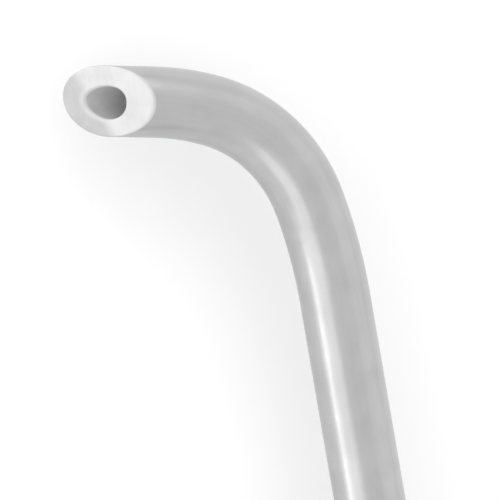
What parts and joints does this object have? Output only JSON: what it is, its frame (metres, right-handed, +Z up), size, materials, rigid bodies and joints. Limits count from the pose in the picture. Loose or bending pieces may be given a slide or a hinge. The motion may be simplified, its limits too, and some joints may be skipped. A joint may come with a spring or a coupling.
{
  "type": "suction dissector",
  "caption": "Suction dissector: thick-walled steel tube with a bent, slant-cut blunt mouth, in a hollow eight-sided handle with a control port and a hose nipple.",
  "frame": {"origin": "on the instrument's axis at the face of the collar that stops the hose", "axes": "+X along the instrument towards the mouth; the tip bends sideways towards +Y; +Z up, out of the control port, with the handle lying on its lowest flat"},
  "size_m": [0.1708, 0.0142, 0.008],
  "materials": {
    "satin_steel_tube": "satin",
    "turned_steel": "fine turned",
    "milled_steel": "satin, brushed along its length",
    "braze": "smooth"
  },
  "bodies": {
    "root": {"suction_tube": "satin_steel_tube", "nose_ferrule": "turned_steel", "tube_braze": "braze", "handle": "milled_steel", "hose_nipple": "turned_steel"}
  },
  "joints": []
}
